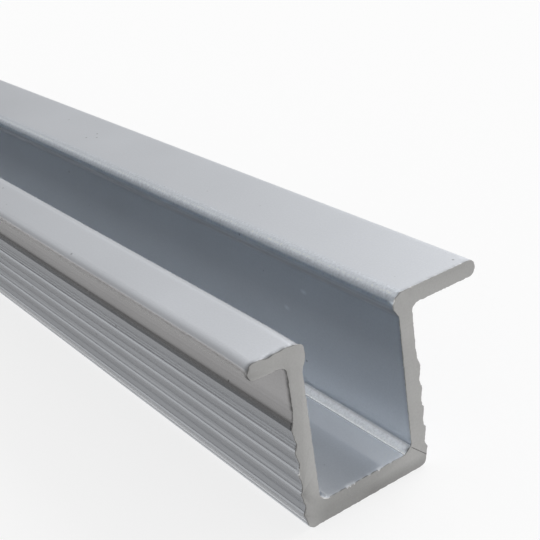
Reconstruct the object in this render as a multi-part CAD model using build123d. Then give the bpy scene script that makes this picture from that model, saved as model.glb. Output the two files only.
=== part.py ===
from build123d import *
import os

# A press-in track for a light sliding door: one aluminium extrusion, sawn to length.
# It runs along X. Y is across it, with the wide flange on the +Y side, and Z is up.
# The origin is on the underside, on the channel's centreline, midway along the rail.
# All sizes are in millimetres.

# Rail and channel
rail_length = 1000.0
rail_height = 13.3
channel_width = 7.6
wall_thickness = 1.15
floor_thickness = 1.6
base_corner_radius = 0.5

# Flanges, which lie on the panel's face either side of its groove
flange_thickness = 1.2
wide_flange_overhang = 5.5
narrow_flange_overhang = 2.7
flange_tip_flat = 0.1
flange_root_radius = 0.5

# Lips, which narrow the mouth so that the door's guide stays in the channel
wide_lip_reach = 0.4
wide_lip_depth = 1.0
wide_lip_underside = 0.6
wide_lip_radius = 0.65
narrow_lip_reach = 0.35
narrow_lip_depth = 1.2
narrow_lip_underside = 0.8
narrow_lip_radius = 1.0
lip_bottom_radius = 0.25

# Sloping strips in the corners between the walls and the floor
corner_strip_width = 0.6
corner_strip_height = 0.5
corner_strip_radius = 0.12

# Barbs on the outside of both walls, which bite into the sides of the groove.
# Going up, each is a long slope out to a sharp tip, a small step back in, and a steep return.
barb_pitch = 1.55
barb_reach = 0.27
barb_root_reach = 0.06
barb_step_reach = 0.12
barb_step_height = 0.12
barb_return_height = 0.43
barb_tip_radius = 0.05
barb_step_radius = 0.08
barb_root_radius = 0.3
base_clearance = 0.12

# The top barb has no step: a long shoulder with a knee draws it in to a plain neck
shoulder_height = 1.3
knee_height = 0.6
knee_reach = 0.09
shoulder_radius = 1.5
neck_height = 3.25

# Places that follow from the sizes
channel_face = channel_width / 2
wall_face = channel_face + wall_thickness
flange_underside = rail_height - flange_thickness
flange_tip_radius = (flange_thickness - flange_tip_flat) / 2
shoulder_top = flange_underside - neck_height
barb_slope_height = barb_pitch - barb_step_height - barb_return_height
lowest_barb_foot = base_corner_radius + base_clearance


def barb_heights():
    """Heights of the barb tips, from the top one down to the last that clears the base corner."""
    heights = []
    tip = shoulder_top - shoulder_height
    while tip > lowest_barb_foot + barb_reach:
        heights.append(tip)
        tip -= barb_pitch
    return heights


def barb_corners(tip):
    """Corners of one barb, from its root up to the step above its tip."""
    foot = max(tip - barb_slope_height, lowest_barb_foot)
    return [
        (wall_face + barb_root_reach, foot, barb_root_radius),
        (wall_face + barb_reach, tip, barb_tip_radius),
        (wall_face + barb_reach - barb_step_reach, tip + barb_step_height, barb_step_radius),
    ]


def outer_corners(overhang):
    """Corners up the outside of one wall and round its flange, as (across, up, radius)."""
    top_tip, *lower_tips = barb_heights()
    corners = [(wall_face, 0, base_corner_radius)]
    for tip in reversed(lower_tips):
        corners += barb_corners(tip)
    corners += barb_corners(top_tip)[:2]
    corners.append((wall_face + knee_reach, top_tip + knee_height, shoulder_radius))
    corners.append((wall_face, shoulder_top, shoulder_radius))
    corners.append((wall_face, flange_underside, flange_root_radius))
    corners.append((wall_face + overhang, flange_underside, flange_tip_radius))
    corners.append((wall_face + overhang, rail_height, flange_tip_radius))
    return corners


def inner_corners(reach, depth, underside, top_radius):
    """Corners from the top of one lip down the inside of its wall to the floor."""
    mouth_face = channel_face - reach
    lip_bottom = rail_height - depth
    return [
        (mouth_face, rail_height, top_radius),
        (mouth_face, lip_bottom, lip_bottom_radius),
        (channel_face, lip_bottom - underside, lip_bottom_radius),
        (channel_face, floor_thickness + corner_strip_height, corner_strip_radius),
        (channel_face - corner_strip_width, floor_thickness, corner_strip_radius),
    ]


def rail_section():
    """The closed section: the +Y half from base to floor, then the -Y half back down."""
    wide_half = outer_corners(wide_flange_overhang) + inner_corners(
        wide_lip_reach, wide_lip_depth, wide_lip_underside, wide_lip_radius
    )
    narrow_half = outer_corners(narrow_flange_overhang) + inner_corners(
        narrow_lip_reach, narrow_lip_depth, narrow_lip_underside, narrow_lip_radius
    )
    mirrored = [(-across, up, radius) for across, up, radius in reversed(narrow_half)]
    corners = wide_half + mirrored
    points = [(across, up) for across, up, radius in corners]
    radii = [radius for across, up, radius in corners]
    return make_face(FilletPolyline(*points, radius=radii, close=True))


# The section is drawn in the YZ plane and pushed out both ways along X
track_profile = extrude(Plane.YZ * rail_section(), rail_length / 2, both=True)
track_profile.label = "track_profile"

os.makedirs("parts", exist_ok=True)
export_step(track_profile, "parts/track_profile.step")
print("barb tips", [round(height, 2) for height in barb_heights()])
print("section area", round(track_profile.volume / rail_length, 2), "mm2")
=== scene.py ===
import math

import bpy
import numpy as np
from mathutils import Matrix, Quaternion, Vector


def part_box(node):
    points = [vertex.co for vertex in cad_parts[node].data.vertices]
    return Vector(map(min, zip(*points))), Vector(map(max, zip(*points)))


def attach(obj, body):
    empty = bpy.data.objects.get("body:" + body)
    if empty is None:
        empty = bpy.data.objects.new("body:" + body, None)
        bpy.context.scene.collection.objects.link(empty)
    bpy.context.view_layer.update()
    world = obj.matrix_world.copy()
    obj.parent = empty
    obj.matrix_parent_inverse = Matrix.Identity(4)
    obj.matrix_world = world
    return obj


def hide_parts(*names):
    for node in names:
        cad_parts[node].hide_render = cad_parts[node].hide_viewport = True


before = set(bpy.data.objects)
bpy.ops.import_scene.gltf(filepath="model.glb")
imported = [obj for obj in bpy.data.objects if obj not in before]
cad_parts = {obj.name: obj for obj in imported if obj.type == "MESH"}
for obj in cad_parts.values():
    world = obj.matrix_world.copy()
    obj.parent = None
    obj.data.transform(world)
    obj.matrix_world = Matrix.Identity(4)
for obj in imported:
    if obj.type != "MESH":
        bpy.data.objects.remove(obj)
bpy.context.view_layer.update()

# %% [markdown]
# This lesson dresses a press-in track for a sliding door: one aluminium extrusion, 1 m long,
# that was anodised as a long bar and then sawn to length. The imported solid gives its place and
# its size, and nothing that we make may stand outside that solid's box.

NODE = "track_profile"
MM = 0.001

low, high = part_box(NODE)
half_length = high.x
rail_height = high.z
wide_edge = high.y
narrow_edge = -low.y
print("rail", round(2 * half_length, 3), "m long and", round(rail_height / MM, 2), "mm high")

# %% [markdown]
# The camera looks down on one sawn end from close by, with the rail running away to the left,
# and it is rolled a little, as a hand-held camera is. An aim made of azimuth, elevation and roll
# is easier to read than a matrix, so we build the turn from those three.

# %% The camera
near_end = Vector((half_length, 0, 0))
view_azimuth = math.radians(58.39)
view_elevation = math.radians(24.9)
view_roll = math.radians(8.45)
camera_from_end = Vector((49.22, -35.33, 45.16)) * MM

forward = Vector((
    -math.sin(view_azimuth) * math.cos(view_elevation),
    math.cos(view_azimuth) * math.cos(view_elevation),
    -math.sin(view_elevation),
))
camera_data = bpy.data.cameras.new("camera")
camera_data.sensor_width = 36.0
camera_data.lens = 75.57
camera_data.clip_start = 0.005
camera = bpy.data.objects.new("camera", camera_data)
camera.rotation_mode = "QUATERNION"
camera.location = near_end + camera_from_end
camera.rotation_quaternion = forward.to_track_quat("-Z", "Y") @ Quaternion((0, 0, 1), -view_roll)
bpy.context.scene.collection.objects.link(camera)
bpy.context.scene.camera = camera
print("camera", [round(c, 4) for c in camera.location])

# %% [markdown]
# The section is a deep channel with a wide flange on one side and a narrow one on the other.
# Five barbs on each outer wall grip the groove that the track is pressed into. A die draws
# straight flats that meet in small round corners, so we state the corners and a radius for
# each, and let one function put in the arcs. The sizes that the box can't give are named here.

# %% The section's corners
channel_face = 3.8 * MM
wall_face = 4.95 * MM
floor_top = 1.6 * MM
flange_underside = rail_height - 1.2 * MM
flange_tip_radius = 0.55 * MM
corner_strip = Vector((0.62, 0.45)) * MM
base_corner_radius = 0.5 * MM

# Lips as (reach, depth, height of the underside, radius at the top)
wide_lip = (0.4 * MM, 1.0 * MM, 0.6 * MM, 0.65 * MM)
narrow_lip = (0.35 * MM, 1.2 * MM, 0.8 * MM, 1.0 * MM)

barb_tips = (1.35 + 1.55 * np.arange(5)) * MM
barb_reach = 0.27 * MM
root_reach = 0.06 * MM
step_reach = 0.12 * MM
step_height = 0.12 * MM
slope_height = 1.0 * MM
knee = Vector((0.09, 0.6)) * MM
shoulder_top = 8.85 * MM


def half_section(edge, lip):
    """Corners (across, up, radius) from the base, up one outer wall, over its flange and back
    down inside to the floor. edge is how far the flange reaches from the centreline."""
    reach, depth, underside, lip_radius = lip
    mouth_face = channel_face - reach
    lip_bottom = rail_height - depth
    feet = np.maximum(barb_tips - slope_height, base_corner_radius + 0.12 * MM)
    each = np.ones_like(barb_tips)
    roots = np.stack([(wall_face + root_reach) * each, feet, 0.3 * MM * each], 1)
    tips = np.stack([(wall_face + barb_reach) * each, barb_tips, 0.05 * MM * each], 1)
    steps = tips + (-step_reach, step_height, 0.03 * MM)
    barbs = np.stack([roots, tips, steps], 1).reshape(-1, 3)[:-1]
    below = [(wall_face, 0, base_corner_radius)]
    above = [
        (wall_face + knee.x, barb_tips[-1] + knee.y, 1.5 * MM),
        (wall_face, shoulder_top, 1.5 * MM),
        (wall_face, flange_underside, 0.5 * MM),
        (edge, flange_underside, flange_tip_radius),
        (edge, rail_height, flange_tip_radius),
        (mouth_face, rail_height, lip_radius),
        (mouth_face, lip_bottom, 0.25 * MM),
        (channel_face, lip_bottom - underside, 0.25 * MM),
        (channel_face, floor_top + corner_strip.y, 0.12 * MM),
        (channel_face - corner_strip.x, floor_top, 0.12 * MM),
    ]
    return np.concatenate([below, barbs, above])


wide_half = half_section(wide_edge, wide_lip)
narrow_half = half_section(narrow_edge, narrow_lip)[::-1] * (-1, 1, 1)
corners = np.concatenate([wide_half, narrow_half])
print(len(corners), "corners in the section")

# %% [markdown]
# An arc that rounds a corner touches both runs at the same distance from it, the radius times
# the tangent of half the turn. All corners are worked out at once as arrays. Points are then
# added along the flats, because the sawn ends need something to bend.

# %% Arcs at the corners
ARC_POINTS = 7
FLAT_SPACING = 0.12 * MM


def rounded_outline(corners, arc_points, spacing):
    """The closed outline (n, 2). At a corner the path turns by an angle a; the arc starts
    r tan(a/2) before it, and its centre lies r to the side that the path turns to."""
    place, radius = corners[:, :2], corners[:, 2:]
    ahead = np.roll(place, -1, 0) - place
    ahead /= np.linalg.norm(ahead, axis=1, keepdims=True)
    behind = np.roll(ahead, 1, 0)
    cross = behind[:, :1] * ahead[:, 1:] - behind[:, 1:] * ahead[:, :1]
    turn = np.arctan2(cross, (behind * ahead).sum(1, keepdims=True))
    start = place - behind * radius * np.tan(np.abs(turn) / 2)
    side = np.sign(turn) * np.stack([-behind[:, 1], behind[:, 0]], 1)
    centre = start + side * radius
    first = np.arctan2(*(start - centre).T[::-1])[:, None]
    angle = first + turn * np.linspace(0, 1, arc_points)
    arcs = centre[:, None] + radius[:, None] * np.stack([np.cos(angle), np.sin(angle)], 2)
    points = arcs.reshape(-1, 2)
    closed = np.concatenate([points, points[:1]])
    along = np.concatenate([[0], np.cumsum(np.linalg.norm(np.diff(closed, axis=0), axis=1))])
    extra = np.arange(0, along[-1], spacing)
    near = np.abs(extra[:, None] - along[None]).min(1) < spacing / 4
    stations = np.sort(np.concatenate([along[:-1], extra[~near]]))
    return np.stack([np.interp(stations, along, closed[:, i]) for i in (0, 1)], 1), stations


outline, stations = rounded_outline(corners, ARC_POINTS, FLAT_SPACING)
print(len(outline), "points round the section,", round(stations[-1] / MM, 1), "mm round")

# %% [markdown]
# A saw doesn't leave a crisp edge. It rounds the outline over, tears the skin a little, bends
# the thin narrow flange down, chips the edge back to bare metal and leaves a burr on one corner.
# We make a worn copy of the outline for each cut, smoothed and then set back by slow and quick
# waves, and push the near one in or out at named places. The waves get fixed seeds, so the
# tearing is uneven but the same on every run.

# %% The worn outline at a cut
SMOOTH_REACH = 0.15 * MM
TEAR = 0.04 * MM
TEAR_MEAN = 0.6
TEAR_SWING = 0.5
TEAR_MOST = 1.6
TEAR_ON_TOPS = 0.3
TEAR_WAVES = (0.25 * MM, 1.8 * MM)


def normals_of(points):
    """Outward unit normals of a closed outline that runs anticlockwise: the tangent, from the
    point before to the point after, turned a quarter turn to the right."""
    tangent = np.roll(points, -1, 0) - np.roll(points, 1, 0)
    tangent /= np.linalg.norm(tangent, axis=1, keepdims=True)
    return np.stack([tangent[:, 1], -tangent[:, 0]], 1)


def smoothed(points, stations, reach):
    """Each point becomes a weighted mean of its neighbours round the outline, with weights
    that fall off as a bell curve of the distance measured along it."""
    round_length = stations[-1] + np.linalg.norm(points[0] - points[-1])
    apart = np.abs(stations[:, None] - stations[None])
    apart = np.minimum(apart, round_length - apart)
    step = (np.roll(stations, -1) - np.roll(stations, 1)) % round_length
    weight = np.exp(-((apart / reach) ** 2)) * step[None]
    return weight @ points / weight.sum(1, keepdims=True)


def waves(stations, seed, lengths, count=24):
    """A sum of sine waves round the outline, with random lengths and phases from one seed,
    scaled to lie mostly between -1 and 1."""
    random = np.random.default_rng(seed)
    length = np.exp(random.uniform(*np.log(lengths), count))
    phase = random.uniform(0, 2 * np.pi, count)
    return np.sin(stations[:, None] * 2 * np.pi / length + phase).sum(1) / math.sqrt(count)


def bell(points, across, up, reach):
    """1 at one place of the section, in millimetres, falling off as a bell curve of distance."""
    gap = np.linalg.norm(points - np.array((across, up)) * MM, axis=1)
    return np.exp(-((gap / (reach * MM)) ** 2))


def torn(points, stations, seed):
    """How far tearing moves each point: to the smoothed outline, and then back along its
    normals by waves, which are weaker on the tops that face up."""
    soft = smoothed(points, stations, SMOOTH_REACH)
    normals = normals_of(soft)
    tear = np.clip(TEAR_MEAN + TEAR_SWING * waves(stations, seed, TEAR_WAVES), 0, TEAR_MOST)
    depth = TEAR * tear * np.where(normals[:, 1] > 0.7, TEAR_ON_TOPS, 1.0)
    return soft - points - normals * depth[:, None]


def pushed(points, marks):
    """How far a list of marks moves each point. A mark is (across, up, reach, push, heading):
    a bell-shaped push at a place, in millimetres, along a heading in degrees from the wide
    side, turning up."""
    move = np.zeros_like(points)
    for across, up, reach, push, heading in marks:
        turn = math.radians(heading)
        step = push * MM * np.array((math.cos(turn), math.sin(turn)))
        move = move + bell(points, across, up, reach)[:, None] * step
    return move


# Where the near cut is dented: the narrow flange's top and tip, the wide flange's mouth corner
# and the far wall's shoulder. The last mark pushes the narrow lip's corner out, to a small burr.
dents = [
    (-6.1, 13.3, 0.40, 0.14, 270),
    (-5.3, 13.3, 0.30, 0.05, 270),
    (-4.4, 13.3, 0.25, 0.06, 270),
    (-7.6, 13.0, 0.25, 0.08, 330),
    (3.75, 13.2, 0.30, 0.12, 300),
    (5.2, 8.2, 0.25, 0.05, 180),
    (-3.65, 12.92, 0.27, 0.18, 38),
]
# Where the edge is chipped, mostly to bright metal that also carries a painted highlight: a mark
# as above, and how bare it is, which sets the highlight too. The two long ones lie in the corner
# by the near wall, and along the floor towards the far one.
chips = [
    (-2.40, 1.60, 0.12, 0.04, 270, 0.4),
    (-1.66, 1.60, 0.08, 0.11, 270, 1.1),
    (-1.43, 1.60, 0.10, 0.13, 270, 1.3),
    (-1.09, 1.60, 0.10, 0.11, 270, 1.1),
    (-0.50, 1.60, 0.12, 0.04, 270, 0.4),
    (0.20, 1.60, 0.10, 0.07, 270, 0.6),
    (1.00, 1.60, 0.11, 0.14, 270, 1.0),
    (1.30, 1.60, 0.15, 0.06, 270, 0.4),
    (2.02, 1.60, 0.10, 0.08, 270, 0.4),
    (2.80, 1.60, 0.35, 0.04, 270, 0.0),
    (-3.45, 1.80, 0.42, 0.12, 235, 1.1),
    (3.45, 12.90, 0.15, 0.13, 340, 1.6),
    (-5.17, 4.52, 0.16, 0.16, 290, 1.8),
]
near_wear = torn(outline, stations, seed=11)
near_pushes = pushed(outline, dents + [chip[:5] for chip in chips])
far_wear = torn(outline, stations, seed=37)
print("the near cut departs from the true outline by up to",
      round(np.linalg.norm(near_wear + near_pushes, axis=1).max() / MM, 2), "mm")

# %% [markdown]
# Now the profile is carried along the rail. The same points are laid down ring by ring, at
# lengths that lie close together near each cut and far apart between. Four things change from
# ring to ring near a cut: the edge is rounded by a quarter circle, the tearing dies out within
# 0.2 mm, the dents and chips within 0.3 mm, and the narrow flange's bend within 5 mm.

# %% Rings along the rail
EDGE_RADIUS = 0.04 * MM
WEAR_LENGTH = 0.20 * MM
DENT_LENGTH = 0.3 * MM
NICK_DEPTH = 0.06 * MM
NICK_WAVES = (0.2 * MM, 1.2 * MM)
BEND_LENGTH = 5.0 * MM
BEND = 0.13 * MM
# Where the bend sets in, in mm: out from the middle, up the wall, and over what height
BEND_INNER_EDGE = 2
BEND_FOOT = 10
BEND_RISE = 1.8
MIDDLE_SHARE = 0.44
MIDDLE_RINGS = 23

quarter = np.radians([0, 30, 60, 90])
edge_depths = EDGE_RADIUS * (1 - np.cos(quarter))
edge_insets = EDGE_RADIUS * (1 - np.sin(quarter))
inner_depths = np.array([0.07, 0.1, 0.13, 0.17, 0.21, 0.3, 0.42, 0.6, 1.0, 1.6, 2.4, 3.4, 5, 12, 40]) * MM
depths = np.concatenate([edge_depths, inner_depths])
insets = np.concatenate([edge_insets, np.zeros_like(inner_depths)])
mid_lengths = np.linspace(-MIDDLE_SHARE, MIDDLE_SHARE, MIDDLE_RINGS) * 2 * half_length


def fade(depth, length):
    """1 at the cut and 0 from a given length inwards, easing out as a square."""
    return np.clip(1 - depth / length, 0, 1) ** 2


def bent_share(points):
    """How much of the bend a point takes: all of it on the narrow flange, and none below the
    middle of the neck."""
    on_side = np.clip(-points[:, 0] / MM - BEND_INNER_EDGE, 0, 1)
    return on_side * np.clip((points[:, 1] / MM - BEND_FOOT) / BEND_RISE, 0, 1)


def cut_rings(sign, wear, pushes, bend, seed):
    """Rings (rings, n, 3) from one cut inwards: the true outline, plus the wear, the pushes and
    the bend by how much of each is left, less the rounding. The cut face itself stays flat; the
    rounded edge behind it is nicked back unevenly."""
    drop = bent_share(outline)[None] * bend * fade(depths, BEND_LENGTH)[:, None]
    section = outline + wear * fade(depths, WEAR_LENGTH)[:, None, None]
    section = section + pushes * fade(depths, DENT_LENGTH)[:, None, None]
    outward = normals_of(smoothed(outline + wear + pushes, stations, SMOOTH_REACH))
    section = section - outward * insets[:, None, None]
    section[:, :, 1] -= drop
    nicks = NICK_DEPTH * np.clip(waves(stations, seed, NICK_WAVES), 0, 1)
    nicked = np.clip(depths / EDGE_RADIUS, 0, 1) * fade(depths, WEAR_LENGTH)
    along = half_length - depths[:, None] - nicks * nicked[:, None]
    return np.concatenate([sign * along[:, :, None], section], 2)


near_rings = cut_rings(1, near_wear, near_pushes, BEND, seed=5)
far_rings = cut_rings(-1, far_wear, 0 * far_wear, 0.0, seed=6)
middle = np.concatenate([
    np.broadcast_to(mid_lengths[:, None, None], (len(mid_lengths), len(outline), 1)),
    np.broadcast_to(outline, (len(mid_lengths), len(outline), 2)),
], 2)
rings = np.concatenate([far_rings, middle, near_rings[::-1]])
print(len(rings), "rings of", rings.shape[1], "points")

# %% [markdown]
# A grid of rings and points needs no loop to become faces: they are one square pattern of
# numbers, shifted over the grid. Each end is closed by one flat many-sided face. If its outline
# crossed itself, Blender would cut it into wrong triangles, so we compare their areas with the
# area inside the outline.

# %% The rail as one closed mesh


def swept_mesh(name, rings):
    """A closed tube from rings (m, n, 3), wound so that its faces point outwards, with a flat
    face on each end ring."""
    count, around = rings.shape[:2]
    index = np.arange(count * around).reshape(count, around)
    here, beside = index, np.roll(index, -1, 1)
    quads = np.stack([here[:-1], beside[:-1], beside[1:], here[1:]], 2).reshape(-1, 4)
    loops = np.concatenate([quads.reshape(-1), index[0][::-1], index[-1]])
    starts = np.concatenate([np.arange(len(quads)) * 4, len(quads) * 4 + np.array([0, around])])
    mesh = bpy.data.meshes.new(name)
    mesh.vertices.add(rings.size // 3)
    mesh.vertices.foreach_set("co", rings.reshape(-1).astype(np.float32))
    mesh.loops.add(len(loops))
    mesh.loops.foreach_set("vertex_index", loops)
    mesh.polygons.add(len(starts))
    mesh.polygons.foreach_set("loop_start", starts)
    mesh.update(calc_edges=True)
    return mesh


def shoelace(points):
    """The area inside a closed outline: half the sum of the cross products of its neighbours."""
    after = np.roll(points, -1, 0)
    return abs((points[:, 0] * after[:, 1] - points[:, 1] * after[:, 0]).sum()) / 2


rail_mesh = swept_mesh("track_rail", rings)
rail = bpy.data.objects.new("track_rail", rail_mesh)
bpy.context.scene.collection.objects.link(rail)
rail_mesh.calc_loop_triangles()
cap_areas = [triangle.area for triangle in rail_mesh.loop_triangles
             if triangle.polygon_index == len(rail_mesh.polygons) - 1]
print(len(rail_mesh.vertices), "points and", len(rail_mesh.loop_triangles), "triangles")
print("near cut", round(sum(cap_areas) / MM**2, 3), "mm2 in triangles and",
      round(shoelace(rings[-1][:, 1:]) / MM**2, 3), "mm2 by its outline")

# %% [markdown]
# The long arcs should shade smoothly, while flats that meet at a real corner, and the edge of
# each cut, should stay crisp. So every face is set smooth and edges that fold by more than an
# angle are marked sharp. The cut faces and their rounded rims, where the skin is torn off, get
# a material slot of their own.

# %% Shading and slots
SHARP_FOLD = math.radians(28)

face_count = len(rail_mesh.polygons)
is_cut = np.zeros(face_count, np.int32)
is_cut[-2:] = 1
around = rings.shape[1]
rim_faces = (len(edge_depths) - 1) * around
is_cut[:rim_faces] = 1
is_cut[face_count - 2 - rim_faces:] = 1
rail_mesh.polygons.foreach_set("use_smooth", np.ones(face_count, bool))
rail_mesh.set_sharp_from_angle(angle=SHARP_FOLD)
print(int(is_cut.sum()), "faces belong to the sawn ends and their rims")

# %% [markdown]
# A drawn bar is never even. The die leaves its outer walls smooth and its tops matt, fine ribs
# on the steep returns between the barbs, a coarser skin on the corner strips and the wide lip,
# and a smooth line along the foot of each strip, where a highlight is painted too. Each depends
# on where a point lies on the section, so it becomes a share: a number at every point of the outline.

# %% What the die leaves
RIBBED_BAND = (0.14 * MM, 0.60 * MM)
RIBBED_ELSEWHERE = 0.25
INNER_SMOOTHNESS = 0.25
LIP_GRAIN = 1.3
LIP_ARC_FOOT = 12.6 * MM
STRIP_HIGHLIGHT_REACH = 0.12

barb_pitch = barb_tips[1] - barb_tips[0]


def ribbed_share(points):
    """1 on the outer walls just above each barb's tip, and a little on the rest of them."""
    across, up = points.T
    above_tip = (up - barb_tips[0]) % barb_pitch
    in_band = (above_tip > RIBBED_BAND[0]) & (above_tip < RIBBED_BAND[1])
    outside = (np.abs(across) > wall_face - 0.02 * MM) & (up < barb_tips[-1])
    return outside * np.where(in_band, 1.0, RIBBED_ELSEWHERE)


def drawn_share(points):
    """1 on the outer walls, which the die left smooth, little on the inner ones, and 0 on the
    matt flanges."""
    across, up = points.T
    outside = (np.abs(across) > channel_face + 0.6 * MM) & (up < flange_underside + 0.1 * MM)
    inside = (np.abs(across) < channel_face + 0.1 * MM) & (up < rail_height - 0.9 * MM)
    return np.where(outside, 1.0, np.where(inside, INNER_SMOOTHNESS, 0.0))


def grainy_share(points):
    """1 on the corner strips, which are coarser than the rest, and LIP_GRAIN on the wide lip's
    rounded top."""
    across, up = points.T
    on_strip = (np.abs(across) < channel_face) & (up > floor_top) & (up < floor_top + corner_strip.y)
    on_arc = (np.abs(across - channel_face) < 0.45 * MM) & (up > LIP_ARC_FOOT)
    return np.select([on_strip, on_arc], [1.0, LIP_GRAIN], 0.0)


def strip_highlight_share(points, side):
    """1 on the lower edge of one corner strip, where a highlight is painted: side 1 is the wide one."""
    across = side * (channel_face - corner_strip.x + 0.03 * MM)
    return bell(points, across / MM, floor_top / MM + 0.02, STRIP_HIGHLIGHT_REACH)


# The wide strip's line is smooth and has a highlight painted into its tint
line = strip_highlight_share(outline, 1)
drawn = np.maximum(drawn_share(outline), line)
print(int((drawn == 1).sum()), "points of the section are smooth")

# %% [markdown]
# The skin's grey also carries painted light and shade, in lines along the rail: a painted shadow
# along the upper edge of the strips, painted highlights and shade by turns over the wide lip, the
# neck and the narrow flange's tip, a painted highlight above each barb and painted highlight and
# shade at its tip, and painted light across the floor. Each part of the section gets a list of
# stops, with even blends between them. A tint above 1 would be cut off and lose its hue, so it is
# scaled back whole.

# %% Painted light and shade, and colours by place
SKIN_COLOUR = np.array((0.735, 0.758, 0.797))
# A painted reflection that turns the neck neutral grey
NECK_REFLECTION_COLOUR = np.array((0.800, 0.788, 0.790))
CHANNEL_COLOUR = np.array((0.692, 0.726, 0.764))
# A painted reflection, bluer, over the wide lip's rounded top
LIP_REFLECTION_COLOUR = np.array((0.698, 0.754, 0.822))
# The colour of the highlight painted on the wide strip's line
STRIP_HIGHLIGHT_COLOUR = np.array((0.930, 0.966, 1.0))
# Stops are (height in mm, tone), and paint highlights and shade into the grey. The floor's run
# across it, and the barbs' up from each tip.
WALL_STOPS = [(1.62, 1.2), (1.75, 1.15), (1.9, 1.25), (1.98, 0.72), (2.05, 1.05), (2.12, 1.3),
              (2.25, 1.3), (2.6, 1.13), (5.0, 1.03), (9.0, 0.98), (10.8, 1.08)]
LIP_STOPS = [(11.55, 1.05), (11.8, 0.6), (12.2, 0.65), (12.6, 1.4), (12.72, 1.4), (12.9, 0.68),
             (13.0, 0.76), (13.1, 0.92), (13.2, 1.3), (13.3, 1.0)]
# How much of the wide lip's painted reflection shows, by height
LIP_REFLECTION_STOPS = [(12.45, 0.0), (12.6, 1.0), (13.0, 1.0), (13.2, 0.4)]
FLANGE_TIP_STOPS = [(12.5, 1.12), (12.75, 1.25), (12.9, 1.0), (13.02, 0.72), (13.14, 0.86),
                    (13.22, 1.04), (13.28, 1.13), (13.3, 1.06)]
NECK_STOPS = [(8.0, 0.85), (8.2, 0.86), (8.5, 0.98), (8.7, 1.0), (9.0, 0.88), (9.15, 0.91), (9.4, 1.0)]
BARB_TIP_STOPS = [(-0.2, 1.0), (-0.1, 1.2), (-0.02, 1.2), (0.03, 0.86), (0.14, 0.86), (0.2, 1.0)]
FLOOR_STOPS = [(-0.2, 1.0), (0.4, 1.04), (1.2, 1.17), (1.5, 1.32)]
UNDER_LIPS = rail_height - 1.75 * MM
NARROW_LIP_FOOT = 12.8 * MM
# A painted shade over the narrow lip's rounded top
NARROW_LIP_TONE = 0.93
NECK_TONED_FROM = 7.97 * MM
# Painted highlights on a line above each barb's tip: where it lies above the tip, and a tone for each
# barb
RETURN_LINE = (0.24 * MM, 0.38 * MM)
RETURN_TONES = np.array((1.0, 1.22, 1.05, 1.13, 1.0))
# Where the neck's painted reflection blends in up the wall, and the lip's out over it, in mm
NECK_FOOT = 7.6
NECK_BLEND = 0.4
LIP_OUTER_EDGE = 4.6
LIP_BLEND = 0.6


def by_stops(lengths, stops):
    """Values blended evenly between stops, for lengths in metres and stops in millimetres."""
    return np.interp(lengths / MM, *zip(*stops))


def painted_shading_share(points):
    """Painted highlights and shade in the skin's tone, by stops up the channel's walls and strips,
    across its floor, and up the wide lip, the narrow flange's tip and the neck, with a painted
    highlight on a fine line above each barb and a painted highlight and shade at its tip."""
    across, up = points.T
    inside = (up > floor_top - 0.2 * MM) & (np.abs(across) < channel_face + 0.01 * MM)
    above_tip = (up - barb_tips[0]) % barb_pitch
    on_return = (above_tip > RETURN_LINE[0]) & (above_tip < RETURN_LINE[1]) & (up < barb_tips[-1])
    near_neck = (across < -wall_face + 0.05 * MM) & (across > -wall_face - 0.3 * MM)
    barb = np.clip((up - barb_tips[0]) // barb_pitch, 0, 4).astype(int)
    choices = [
        (inside & (up < floor_top + 0.02 * MM), by_stops(across, FLOOR_STOPS)),
        (inside & (up < UNDER_LIPS), by_stops(up, WALL_STOPS)),
        ((np.abs(across - channel_face) < 0.5 * MM) & (up > UNDER_LIPS), by_stops(up, LIP_STOPS)),
        (on_return & (np.abs(across) > wall_face), RETURN_TONES[barb]),
        ((np.abs(across + channel_face) < 0.5 * MM) & (up > NARROW_LIP_FOOT), NARROW_LIP_TONE),
        (across < -narrow_edge + flange_tip_radius, by_stops(up, FLANGE_TIP_STOPS)),
        (near_neck & (up > NECK_TONED_FROM) & (up < flange_underside), by_stops(up, NECK_STOPS)),
    ]
    places, tones = zip(*choices)
    from_tip = (above_tip + barb_pitch / 2) % barb_pitch - barb_pitch / 2
    on_barbs = (np.abs(across) > wall_face) & (up < barb_tips[-2] + 0.3 * MM)
    return np.select(places, tones, 1.0) * np.where(on_barbs, by_stops(from_tip, BARB_TIP_STOPS), 1.0)


def colour_by_place(points):
    """The skin's colour (n, 3): a painted reflection that is neutral on the neck, a little green on
    the channel's walls, and a painted reflection that is bluer over the wide lip's rounded top."""
    across, up = points.T
    on_neck = np.clip((up / MM - NECK_FOOT) / NECK_BLEND, 0, 1) * (up < rail_height - 0.3 * MM)
    on_neck = on_neck * (across < -wall_face + 0.3 * MM)
    in_channel = (np.abs(across) < channel_face + 0.01 * MM) & (up < rail_height - 0.6 * MM)
    in_channel = in_channel & (up > floor_top + corner_strip.y)
    on_lip = (across > channel_face - 0.5 * MM) & (up > flange_underside)
    on_lip = on_lip * np.clip((LIP_OUTER_EDGE - across / MM) / LIP_BLEND, 0, 1)
    on_lip = on_lip * by_stops(up, LIP_REFLECTION_STOPS)
    colour = SKIN_COLOUR + on_neck[:, None] * (NECK_REFLECTION_COLOUR - SKIN_COLOUR)
    colour = colour + on_lip[:, None] * (LIP_REFLECTION_COLOUR - SKIN_COLOUR)
    return colour + (in_channel * (1 - on_lip))[:, None] * (CHANNEL_COLOUR - SKIN_COLOUR)


def kept_hue(colours):
    """The same colours, but one that reaches past 1 is scaled back whole, to keep its hue."""
    return colours / np.maximum(colours.max(1, keepdims=True), 1)


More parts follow.
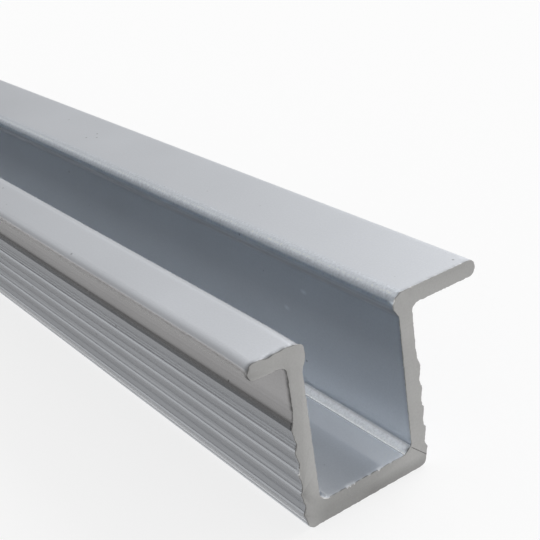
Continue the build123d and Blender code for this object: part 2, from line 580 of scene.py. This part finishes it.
# The tint holds the painted light and shade, the painted reflections and the painted highlight, as well
# as the skin's colour
toned = kept_hue(colour_by_place(outline) * painted_shading_share(outline)[:, None])
tint_and_shading = toned + line[:, None] * (STRIP_HIGHLIGHT_COLOUR - toned)
print("the tint runs from", tint_and_shading.min(0).round(2), "to", tint_and_shading.max(0).round(2))

# %% [markdown]
# Along parts of the near cut the skin turns dark and rough, partly from saw bruising and partly as
# painted shade on the rims, over the dents and at the end of the far corner strip. Where the edge
# is chipped the metal is bare and bright, with a painted highlight. Both fade out within 0.35 mm.
# They stay 0 on the cut's own ring, or they would spread over the whole cut face. Two more places
# get a painted highlight all along the rail, made as bare metal: the near strip's line, and weakly
# a band of the floor by the far strip.

# %% Bruises and bare metal, with painted shade and highlights
BRUISE_SHADE_LENGTH = 0.34 * MM
# How dark the near side, the wide flange's top and the channel's far wall get, as saw bruising
# and painted shade
NEAR_BRUISE_SHADE = 0.8
WIDE_BRUISE_SHADE = 0.45
WALL_BRUISE_SHADE = 0.3
# A painted shadow on the end of the far corner strip: (across, up, reach) in mm
STRIP_END_SHADOW = (3.5, 1.85, 0.22)
# Painted shade over the dents and on the floor's rim at the near cut
DENT_SHADE = 0.5
RIM_SHADE = 0.5
RIM_DEPTH = 0.08 * MM
BARE_LENGTH = 0.35 * MM
BARE_GAIN = 1.5
RAGGED_BARE = 0.08
SPOT_SPREAD = 1.2
UNEVEN_WAVES = (0.3 * MM, 2.0 * MM)
# A painted band of light on the floor towards the far strip: where it starts in mm, its blend, and how
# much of it is made bare
FLOOR_BAND = 1.2
FLOOR_BAND_BLEND = 0.3
FLOOR_BAND_LIGHT = 0.4


def bruise_and_shade_share(points, stations):
    """Uneven dark, as saw bruising and painted shade, along the narrow flange, its neck, the wide
    flange's top edge and a little down the channel's far wall, and a painted shadow on the end of
    the far corner strip."""
    across, up = points.T
    uneven = np.clip(0.9 + 0.3 * waves(stations, 21, UNEVEN_WAVES), 0.5, 1)
    near_side = (across < -wall_face + 0.05 * MM) & (up > shoulder_top)
    near_top = (across < -channel_face + 0.5 * MM) & (up > rail_height - 1 * MM)
    wide_top = (across > channel_face) & (up > rail_height - 0.3 * MM)
    far_wall = (across > 0) & (across < channel_face + 0.01 * MM) & (up > 2.3 * MM)
    shares = [NEAR_BRUISE_SHADE * (near_side | near_top), WIDE_BRUISE_SHADE * wide_top, WALL_BRUISE_SHADE * far_wall]
    return np.maximum(uneven * np.max(shares, axis=0), bell(points, *STRIP_END_SHADOW))


def dented_share(points):
    """1 in the middle of a dent or of the burr, from the same list of places."""
    spots = [bell(points, *place, reach * SPOT_SPREAD) for *place, reach, push, heading in dents]
    return np.max(spots, axis=0)


def floor_share(points):
    """1 on the channel's floor between the corner strips, and 0 elsewhere."""
    across, up = points.T
    return 1.0 * ((np.abs(up - floor_top) < 0.05 * MM) & (np.abs(across) < channel_face - corner_strip.x))


def bare_and_highlight_share(points):
    """How bare a chipped place is, and so how bright its painted highlight, from the same list, and
    a little in places all along the floor's edge."""
    spots = [bell(points, *place, reach * SPOT_SPREAD) * shine
             for *place, reach, push, heading, shine in chips]
    uneven = np.clip(0.5 + 0.8 * waves(stations, 31, UNEVEN_WAVES), 0, 1.5)
    ragged = RAGGED_BARE * floor_share(points) * uneven
    return np.clip(np.maximum(np.max(spots, axis=0), ragged), 0, 1)


depth_of_ring = half_length - rings[:, :, 0]
from_cut = np.clip((half_length - np.abs(rings[:, :, 0])) / edge_depths[2], 0, 1)
near_edge = from_cut * np.clip(1 - depth_of_ring / BRUISE_SHADE_LENGTH, 0, 1)
bruise_and_shade = near_edge * bruise_and_shade_share(outline, stations)
# Painted shade over the dents, and on the floor's rim at the cut
dent_shade_mask = from_cut * fade(np.abs(depth_of_ring), DENT_LENGTH) * dented_share(outline)
rim = floor_share(outline) * from_cut * (depth_of_ring < RIM_DEPTH)
bare_and_highlight = from_cut * np.clip(BARE_GAIN * (1 - depth_of_ring / BARE_LENGTH), 0, 1) * bare_and_highlight_share(outline)
bruise_and_shade = np.max([bruise_and_shade, DENT_SHADE * dent_shade_mask, RIM_SHADE * rim], axis=0) * (1 - bare_and_highlight)
# Painted light on a band of the floor beside the far strip, and a painted highlight on the near strip's
# line, both made as bare metal all along the rail
band = floor_share(outline) * np.clip((outline[:, 0] / MM - FLOOR_BAND) / FLOOR_BAND_BLEND, 0, 1)
bare_and_highlight = np.maximum(bare_and_highlight, from_cut * strip_highlight_share(outline, -1))
bare_and_highlight = np.maximum(bare_and_highlight, from_cut * FLOOR_BAND_LIGHT * band)
print(int((bruise_and_shade > 0.3).sum()), "points are bruised and", int((bare_and_highlight > 0.5).sum()), "bare_and_highlight")

# %% [markdown]
# The shares are now stored at every point of the mesh, each as a number, and the tint as three,
# for the materials to read by name.

# %% Marks on the mesh


def put_mark(mesh, name, values):
    """Stores one number for each point of the mesh, or one colour if values has three columns.
    The values are given for every point, or once round the section."""
    is_colour = values.shape[-1] == 3
    kind, field = ("FLOAT_VECTOR", "vector") if is_colour else ("FLOAT", "value")
    spread = np.broadcast_to(values, rings.shape if is_colour else rings.shape[:2])
    mark = mesh.attributes.new(name, kind, "POINT")
    mark.data.foreach_set(field, spread.reshape(-1).astype(np.float32))


marks = {
    "tint_and_shading": tint_and_shading,
    "ribbed": ribbed_share(outline),
    "drawn": drawn,
    "grainy": grainy_share(outline),
    "bruise_and_shade": bruise_and_shade,
    "bare_and_highlight": bare_and_highlight,
}
for name, values in marks.items():
    put_mark(rail_mesh, name, values)
print("marks:", *marks)

# %% [markdown]
# Two effects turn up in both finishes, so each is a node group. The first is grain: a fine
# sparkle of light and dark with a few pits, as an etched and anodised surface has, and a sawn
# one too. The second is lines: long fine scratches in one direction. A die leaves them along
# the rail, and a saw blade leaves them across the cut.

# %% Node groups for grain and lines


def new_group(name, inputs, outputs):
    """An empty shader group with float, vector or colour sockets, and its two end nodes."""
    group = bpy.data.node_groups.new(name, "ShaderNodeTree")
    for socket, kind, value in inputs:
        made = group.interface.new_socket(socket, in_out="INPUT", socket_type=kind)
        if value is not None:
            made.default_value = value
    for socket, kind in outputs:
        group.interface.new_socket(socket, in_out="OUTPUT", socket_type=kind)
    return group, group.nodes.new("NodeGroupInput"), group.nodes.new("NodeGroupOutput")


def add(tree, kind, **values):
    """A node in a tree, with some of its properties and input sockets set by name."""
    node = tree.nodes.new(kind)
    for name, value in values.items():
        if hasattr(node, name):
            setattr(node, name, value)
        else:
            node.inputs[name.replace("_", " ")].default_value = value
    return node


def math_node(tree, operation, first, second=None):
    """A Math node whose inputs are sockets or numbers. It returns its output socket."""
    node = tree.nodes.new("ShaderNodeMath")
    node.operation = operation
    for socket, value in zip(node.inputs, (first, second)):
        if isinstance(value, (int, float)):
            socket.default_value = value
        elif value is not None:
            tree.links.new(value, socket)
    return node.outputs[0]


def scaled(tree, value, factor, offset):
    """value times factor plus offset, where factor and offset are numbers or sockets."""
    socket = math_node(tree, "MULTIPLY_ADD", value, factor)
    if isinstance(offset, (int, float)):
        socket.node.inputs[2].default_value = offset
    else:
        tree.links.new(offset, socket.node.inputs[2])
    return socket


def clipped(socket):
    """The socket of a Math node, after the node is told to keep its result between 0 and 1."""
    socket.node.use_clamp = True
    return socket


def product(tree, sockets):
    """All the given sockets multiplied together."""
    total = sockets[0]
    for socket in sockets[1:]:
        total = math_node(tree, "MULTIPLY", total, socket)
    return total


def make_grain_group():
    """Grain: Tone is about 1 and varies by the sparkle; Pits is 1 in the middle of a pit."""
    group, start, end = new_group(
        "metal grain",
        [("Vector", "NodeSocketVector", None), ("Size", "NodeSocketFloat", 9000.0),
         ("Strength", "NodeSocketFloat", 0.1), ("Pit Share", "NodeSocketFloat", 0.1)],
        [("Tone", "NodeSocketFloat"), ("Pits", "NodeSocketFloat")],
    )
    sparkle = add(group, "ShaderNodeTexNoise", Detail=3.0, Roughness=0.65)
    cells = add(group, "ShaderNodeTexVoronoi", Randomness=1.0)
    for texture in (sparkle, cells):
        group.links.new(start.outputs["Vector"], texture.inputs["Vector"])
    group.links.new(start.outputs["Size"], sparkle.inputs["Scale"])
    group.links.new(math_node(group, "MULTIPLY", start.outputs["Size"], 0.14), cells.inputs["Scale"])
    swing = scaled(group, sparkle.outputs[0], 2.0, -1.0)
    tone = scaled(group, swing, start.outputs["Strength"], 1.0)
    split = add(group, "ShaderNodeSeparateColor")
    group.links.new(cells.outputs["Color"], split.inputs[0])
    chosen = math_node(group, "LESS_THAN", split.outputs[0], start.outputs["Pit Share"])
    middle = clipped(scaled(group, cells.outputs["Distance"], -8.0, 1.0))
    group.links.new(tone, end.inputs["Tone"])
    group.links.new(math_node(group, "MULTIPLY", chosen, middle), end.inputs["Pits"])
    return group


def make_line_group():
    """Lines: noise that is stretched along one axis of the given vector by its scale."""
    group, start, end = new_group(
        "drawn lines",
        [("Vector", "NodeSocketVector", None), ("Scale", "NodeSocketVector", None)],
        [("Height", "NodeSocketFloat")],
    )
    stretch = add(group, "ShaderNodeVectorMath", operation="MULTIPLY")
    noise = add(group, "ShaderNodeTexNoise", Scale=1.0, Detail=4.0, Roughness=0.6)
    group.links.new(start.outputs["Vector"], stretch.inputs[0])
    group.links.new(start.outputs["Scale"], stretch.inputs[1])
    group.links.new(stretch.outputs[0], noise.inputs["Vector"])
    group.links.new(noise.outputs[0], end.inputs["Height"])
    return group


grain_group = make_grain_group()
line_group = make_line_group()
print("groups:", [group.name for group in bpy.data.node_groups])

# %% [markdown]
# The skin is clear anodised aluminium: a metal with a satin sheen, in the grey that the mesh
# carries as its tint, which holds painted light and shade too. Its tone drifts a little along the
# bar, the grain makes it sparkle, the die's lines run along it, and a few pits show dark. Two pale
# specks lie on the far inner wall. All patterns read Object coordinates, which run on round the
# section without a seam.

# %% The anodised skin
SKIN_EDGE = (0.9, 0.9, 0.9)
TOP_ROUGHNESS = 0.38
WALL_ROUGHNESS = 0.19
PALE_SPECKS = [(half_length - 10.35 * MM, channel_face, 10.02 * MM),
               (half_length - 12.80 * MM, channel_face, 7.95 * MM)]
SPECK_REACH = 0.26 * MM
SPECK_STRETCH = (0.55, 1.0, 1.0)
SPECK_TONE = 0.28
PIT_DARK = 0.75
# How much the bruises and the painted shade darken the skin and the cut
BRUISE_SHADE_DARK = 0.75
BRUISE_ROUGHNESS = 0.35
BARE_DULLNESS = 0.9


def start_material(name):
    """A material with nodes, and its tree, shader and Object coordinates."""
    material = bpy.data.materials.new(name)
    material.use_nodes = True
    tree = material.node_tree
    shader = tree.nodes["Principled BSDF"]
    coordinates = tree.nodes.new("ShaderNodeTexCoord").outputs["Object"]
    return material, tree, shader, coordinates


def place_group(tree, group, coordinates, **values):
    """A copy of a group in a material, fed with coordinates and with its inputs set."""
    node = add(tree, "ShaderNodeGroup", node_tree=group, **values)
    tree.links.new(coordinates, node.inputs["Vector"])
    return node


def tinted(tree, colour, tone):
    """A colour, given as three numbers or as a socket, times a tone that varies over the surface."""
    node = add(tree, "ShaderNodeVectorMath", operation="SCALE")
    if isinstance(colour, tuple):
        node.inputs[0].default_value = colour
    else:
        tree.links.new(colour, node.inputs[0])
    tree.links.new(tone, node.inputs["Scale"])
    return node.outputs[0]


def bumped(tree, height, distance, strength, normal=None):
    """A Bump node: height times distance in metres, laid over another normal if one is given."""
    node = add(tree, "ShaderNodeBump", Distance=distance, Strength=strength)
    tree.links.new(height, node.inputs["Height"])
    if normal is not None:
        tree.links.new(normal, node.inputs["Normal"])
    return node.outputs[0]


def read_mark(tree, name):
    """The socket of a number that the mesh carries at each point."""
    return add(tree, "ShaderNodeAttribute", attribute_name=name).outputs["Fac"]


def speck_mask(tree, coordinates):
    """1 in the middle of each pale speck and 0 from its reach outwards: one clipped ramp of the
    distance for each place, added up. Distance along the rail counts less, so they are oval."""
    shrunk = add(tree, "ShaderNodeVectorMath", operation="MULTIPLY")
    tree.links.new(coordinates, shrunk.inputs[0])
    shrunk.inputs[1].default_value = SPECK_STRETCH
    mask = 0.0
    for place in PALE_SPECKS:
        apart = add(tree, "ShaderNodeVectorMath", operation="DISTANCE")
        tree.links.new(shrunk.outputs[0], apart.inputs[0])
        apart.inputs[1].default_value = Vector(place) * Vector(SPECK_STRETCH)
        ramp = clipped(scaled(tree, apart.outputs["Value"], -1.0 / SPECK_REACH, 1.0))
        mask = math_node(tree, "ADD", ramp, mask)
    return mask


def skin_tone(tree, coordinates, grain, bruise_and_shade):
    """What the tint is multiplied by: a slow drift, the sparkle and its dark pits, the bruises with
    the painted shade, a coarser sparkle where the mesh is marked grainy, and the pale specks."""
    drift = add(tree, "ShaderNodeTexNoise", Scale=90.0, Detail=2.0)
    tree.links.new(coordinates, drift.inputs["Vector"])
    coarse = place_group(tree, grain_group, coordinates, Size=5200.0, Strength=0.30, Pit_Share=0.0)
    swing = scaled(tree, coarse.outputs["Tone"], 1.0, -1.0)
    return product(tree, [
        scaled(tree, drift.outputs[0], 0.12, 0.94),
        grain.outputs["Tone"],
        scaled(tree, grain.outputs["Pits"], -PIT_DARK, 1.0),
        scaled(tree, bruise_and_shade, -BRUISE_SHADE_DARK, 1.0),
        scaled(tree, swing, read_mark(tree, "grainy"), 1.0),
        scaled(tree, speck_mask(tree, coordinates), SPECK_TONE, 1.0),
    ])


def skin_relief(tree, coordinates, grain, lines):
    """The skin's normal: ribs where the mesh is marked ribbed, then the grain, the die's lines
    and the pits laid over them."""
    ribs = place_group(tree, line_group, coordinates, Scale=(12.0, 400.0, 9000.0))
    rib_height = math_node(tree, "MULTIPLY", ribs.outputs["Height"], read_mark(tree, "ribbed"))
    ribbing = bumped(tree, rib_height, 0.05 * MM, 0.5)
    fine = bumped(tree, grain.outputs["Tone"], 0.05 * MM, 0.25, ribbing)
    lined = bumped(tree, lines.outputs["Height"], 0.01 * MM, 0.3, fine)
    pits = math_node(tree, "MULTIPLY", grain.outputs["Pits"], -1.0)
    return bumped(tree, pits, 0.04 * MM, 0.4, lined)


def make_skin():
    """Satin metal: smoother where the mesh is drawn, darker and rougher where it is bruised and
    where shade is painted, and pale and hardly mirroring where it is bare and where highlights are
    painted."""
    material, tree, shader, coordinates = start_material("satin_anodised")
    grain = place_group(tree, grain_group, coordinates, Size=7000.0, Strength=0.07, Pit_Share=0.16)
    lines = place_group(tree, line_group, coordinates, Scale=(25.0, 5200.0, 5200.0))
    bruise_and_shade = read_mark(tree, "bruise_and_shade")
    tint_and_shading = add(tree, "ShaderNodeAttribute", attribute_name="tint_and_shading").outputs["Vector"]
    tone = skin_tone(tree, coordinates, grain, bruise_and_shade)
    tree.links.new(tinted(tree, tint_and_shading, tone), shader.inputs["Base Color"])
    smoother = scaled(tree, read_mark(tree, "drawn"), WALL_ROUGHNESS - TOP_ROUGHNESS, TOP_ROUGHNESS)
    rough = scaled(tree, lines.outputs["Height"], 0.04, smoother)
    tree.links.new(scaled(tree, bruise_and_shade, BRUISE_ROUGHNESS, rough), shader.inputs["Roughness"])
    tree.links.new(scaled(tree, read_mark(tree, "bare_and_highlight"), -BARE_DULLNESS, 1.0), shader.inputs["Metallic"])
    tree.links.new(skin_relief(tree, coordinates, grain, lines), shader.inputs["Normal"])
    shader.inputs["Specular Tint"].default_value = (*SKIN_EDGE, 1)
    return material


skin = make_skin()
print("made", skin.name)

# %% [markdown]
# The cut is bare metal torn by saw teeth. It scatters light widely, looks a little warmer than
# the skin, and carries faint lines across it. It is paler towards the narrow side, and darker
# down the floor and along the base. One hairline score runs over its lower corner.

# %% The sawn ends
SCORE_FROM = np.array((3.8, 1.9)) * MM
SCORE_TO = np.array((5.05, 0.72)) * MM
SCORE_WIDTH = 0.03 * MM
SCORE_DARK = 0.55
CUT_COLOUR = (0.460, 0.457, 0.449)
CUT_TONE_MIDDLE = 1.115
CUT_TONE_SLOPE = -8.0
# How much brighter the cut is where it is bare, which paints a highlight there
BARE_HIGHLIGHT = 1.1
# Where the cut is darker, as ramps (axis, slope per mm, start), and by how much
FLOOR_RAMPS = [(2, -0.42, 1.30), (1, 0.56, 3.0), (1, -0.22, 0.75)]
FLOOR_CUT_DARK = 0.28
BASE_RAMPS = [(2, -1.6, 1.55), (1, 0.8, 0.8)]
BASE_CUT_DARK = 0.20


def score_mask(tree, apart):
    """1 on the hairline and 0 off it: close to the line through two points, not past either
    end, and only on the near cut."""
    along = SCORE_TO - SCORE_FROM
    length = float(np.linalg.norm(along))
    along = along / length
    across = np.array((-along[1], along[0]))

    def measure(direction):
        """Distance from the score's first point along a direction in the cut plane."""
        sideways = math_node(tree, "MULTIPLY", apart.outputs[1], float(direction[0]))
        total = scaled(tree, apart.outputs[2], float(direction[1]), sideways)
        return math_node(tree, "SUBTRACT", total, float(SCORE_FROM @ direction))

    off = math_node(tree, "ABSOLUTE", measure(across))
    on_line = math_node(tree, "LESS_THAN", off, SCORE_WIDTH)
    place = measure(along)
    after = math_node(tree, "GREATER_THAN", place, 0.0)
    before = math_node(tree, "LESS_THAN", place, length)
    near = math_node(tree, "GREATER_THAN", apart.outputs[0], 0.0)
    return product(tree, [on_line, after, before, near])


def ramp_product(tree, apart, ramps):
    """The product of ramps over the cut, each clipped to 0..1."""
    return product(tree, [clipped(scaled(tree, apart.outputs[axis], slope / MM, start))
                          for axis, slope, start in ramps])


def cut_tone(tree, apart):
    """The cut's tone by place: paler towards the narrow side, darker down across the floor, and
    darker again along the base on the wide side."""
    return product(tree, [
        scaled(tree, apart.outputs[1], CUT_TONE_SLOPE, CUT_TONE_MIDDLE),
        scaled(tree, ramp_product(tree, apart, FLOOR_RAMPS), -FLOOR_CUT_DARK, 1.0),
        scaled(tree, ramp_product(tree, apart, BASE_RAMPS), -BASE_CUT_DARK, 1.0),
    ])


def make_cut():
    """Rough sawn metal, darker where it is bruised and where shade is painted, and brighter and
    less like a mirror where it is bare and where highlights are painted."""
    material, tree, shader, coordinates = start_material("sawn_aluminium")
    grain = place_group(tree, grain_group, coordinates, Size=6000.0, Strength=0.10, Pit_Share=0.03)
    lines = place_group(tree, line_group, coordinates, Scale=(1.0, 600.0, 9000.0))
    mottle = add(tree, "ShaderNodeTexNoise", Scale=420.0, Detail=3.0)
    tree.links.new(coordinates, mottle.inputs["Vector"])
    apart = add(tree, "ShaderNodeSeparateXYZ")
    tree.links.new(coordinates, apart.inputs[0])
    score = score_mask(tree, apart)
    bare_and_highlight = read_mark(tree, "bare_and_highlight")
    tone = product(tree, [
        scaled(tree, lines.outputs["Height"], 0.12, 0.94),
        scaled(tree, score, -SCORE_DARK, 1.0),
        grain.outputs["Tone"],
        scaled(tree, read_mark(tree, "bruise_and_shade"), -BRUISE_SHADE_DARK, 1.0),
        scaled(tree, bare_and_highlight, BARE_HIGHLIGHT, 1.0),
        scaled(tree, mottle.outputs[0], 0.16, 0.92),
        cut_tone(tree, apart),
    ])
    tree.links.new(tinted(tree, CUT_COLOUR, tone), shader.inputs["Base Color"])
    tree.links.new(scaled(tree, bare_and_highlight, -BARE_DULLNESS, 1.0), shader.inputs["Metallic"])
    tree.links.new(scaled(tree, lines.outputs["Height"], 0.15, 0.5), shader.inputs["Roughness"])
    fine = bumped(tree, grain.outputs["Tone"], 0.08 * MM, 0.5)
    sawn = bumped(tree, lines.outputs["Height"], 0.03 * MM, 0.5, fine)
    sunk = math_node(tree, "MULTIPLY", score, -1.0)
    tree.links.new(bumped(tree, sunk, 0.05 * MM, 0.8, sawn), shader.inputs["Normal"])
    return material


cut = make_cut()
rail_mesh.materials.append(skin)
rail_mesh.materials.append(cut)
rail_mesh.polygons.foreach_set("material_index", is_cut)
print("made", cut.name)

# %% [markdown]
# The stage is a wide white floor, a white surround and one soft lamp behind the rail, on the
# side of the wide flange. Metal looks like whatever it mirrors, and in an all-white place its
# folds would vanish. So cards stand where only mirrored rays can see them, as a photographer
# sets grey cards just outside the picture: a grey room far around, brighter in its far half,
# four darker cards flat on the floor beside the near wall, and a black strip standing behind.

# %% Floor, lamp, cards and world
FLOOR_GREY = 0.26
FLOOR_GLOW = 0.74
WORLD_LIGHT = 0.65
LAMP_HEADING = Vector((-0.15, 0.78, 0.61)).normalized()
LAMP_DISTANCE = 2.4
LAMP_SIZE = 2.0
LAMP_POWER = 26.0
BRIGHT_HALF = 0.745
DIM_HALF = 0.60
HALVES_MEET = 1.8
ROOM_REACH = 5.0
FLOOR_REACH = 60.0
# Flat grey cards beside the near wall, as (name, from, to, grey), in metres from the centreline
LOW_CARDS = [
    ("card_a", wall_face + 0.15 * MM, 0.0105, 0.355),
    ("card_b", 0.0105, 0.0155, 0.412),
    ("card_c", 0.0155, 0.021, 0.326),
    ("card_d", 0.021, 0.027, 0.257),
]
LOW_CARD_LIFT = 0.0002
LOW_CARD_EDGE = 0.027
CARD_ENDS = (-1.3 * half_length, 1.2 * half_length)
STRIP_GREY = 0.055
STRIP_HEIGHT = 0.008


def seen_directly(tree):
    """1 for the rays that see the stage itself: from the camera, in a mirror or through glass."""
    path = tree.nodes.new("ShaderNodeLightPath")
    seen = math_node(tree, "MAXIMUM", path.outputs["Is Camera Ray"], path.outputs["Is Glossy Ray"])
    return math_node(tree, "MAXIMUM", seen, path.outputs["Is Transmission Ray"])


def add_sheet(name, corners, faces, grey, glow):
    """A flat-sided sheet of dull paper of one grey on the stage. To rays that see it directly
    it also glows by itself, as a second grey."""
    mesh = bpy.data.meshes.new(name)
    mesh.from_pydata(corners, [], faces)
    sheet = bpy.data.objects.new(name, mesh)
    bpy.context.scene.collection.objects.link(sheet)
    material, tree, shader, _ = start_material(name + "_paper")
    shader.inputs["Base Color"].default_value = (grey, grey, grey, 1)
    shader.inputs["Roughness"].default_value = 1.0
    shader.inputs["Specular IOR Level"].default_value = 0.0
    shader.inputs["Emission Color"].default_value = (glow, glow, glow, 1)
    tree.links.new(seen_directly(tree), shader.inputs["Emission Strength"])
    mesh.materials.append(material)
    return sheet


def box_corners(low, high):
    """The eight corners of a box, counted by x, then y, then z."""
    return [(x, y, z) for z in (low[2], high[2]) for y in (low[1], high[1]) for x in (low[0], high[0])]


def level_corners(low_x, high_x, low_y, high_y, height):
    """The four corners of a level rectangle, anticlockwise."""
    return [(low_x, low_y, height), (high_x, low_y, height),
            (high_x, high_y, height), (low_x, high_y, height)]


def hide_card(card):
    """Leaves a card to mirrored rays alone: it throws no shadow and isn't in the picture."""
    for rays in ("camera", "diffuse", "shadow", "transmission"):
        setattr(card, "visible_" + rays, False)


def add_cards():
    """The room's two halves, the low cards and the black strip, each with a fixed glow."""
    reach = ROOM_REACH
    left, right, top = (2, 0, 4, 6), (1, 3, 7, 5), (4, 5, 7, 6)
    far_half = box_corners((-reach, HALVES_MEET, -0.01), (reach, reach, reach))
    near_half = box_corners((-reach, -reach, -0.01), (reach, HALVES_MEET, reach))
    cards = [
        add_sheet("bright_half", far_half, [left, right, top, (3, 2, 6, 7)], 0.0, BRIGHT_HALF),
        add_sheet("dim_half", near_half, [left, right, top, (0, 1, 5, 4)], 0.0, DIM_HALF),
    ]
    for name, start, stop, grey in LOW_CARDS:
        flat = level_corners(*CARD_ENDS, -stop, -start, LOW_CARD_LIFT)
        cards.append(add_sheet(name, flat, [(0, 1, 2, 3)], 0.0, grey))
    upright = [(x, -LOW_CARD_EDGE, z) for z in (0, STRIP_HEIGHT) for x in CARD_ENDS]
    cards.append(add_sheet("black_strip", upright, [(0, 1, 3, 2)], 0.0, STRIP_GREY))
    for card in cards:
        hide_card(card)


def add_lamp():
    """The one lamp, a wide square of light behind the rail, turned towards its near end."""
    data = bpy.data.lights.new("lamp_behind", "AREA")
    data.size = LAMP_SIZE
    data.energy = LAMP_POWER
    lamp = bpy.data.objects.new("lamp_behind", data)
    lamp.location = near_end + LAMP_HEADING * LAMP_DISTANCE
    lamp.rotation_mode = "QUATERNION"
    lamp.rotation_quaternion = (-LAMP_HEADING).to_track_quat("-Z", "Y")
    bpy.context.scene.collection.objects.link(lamp)


def make_world():
    """White to the camera and in mirrors, and a dimmer even light on everything else."""
    world = bpy.data.worlds.new("studio")
    world.use_nodes = True
    tree = world.node_tree
    strength = scaled(tree, seen_directly(tree), 1.0 - WORLD_LIGHT, WORLD_LIGHT)
    background = tree.nodes["Background"]
    background.inputs["Color"].default_value = (1, 1, 1, 1)
    tree.links.new(strength, background.inputs["Strength"])
    bpy.context.scene.world = world


floor_corners = level_corners(-FLOOR_REACH, FLOOR_REACH, -FLOOR_REACH, FLOOR_REACH, 0)
add_sheet("floor", floor_corners, [(0, 1, 2, 3)], FLOOR_GREY, FLOOR_GLOW)
add_cards()
add_lamp()
make_world()
bpy.context.scene.view_settings.view_transform = "Standard"
print("stage is set")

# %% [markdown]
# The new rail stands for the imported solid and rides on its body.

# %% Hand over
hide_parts(NODE)
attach(rail, "root")
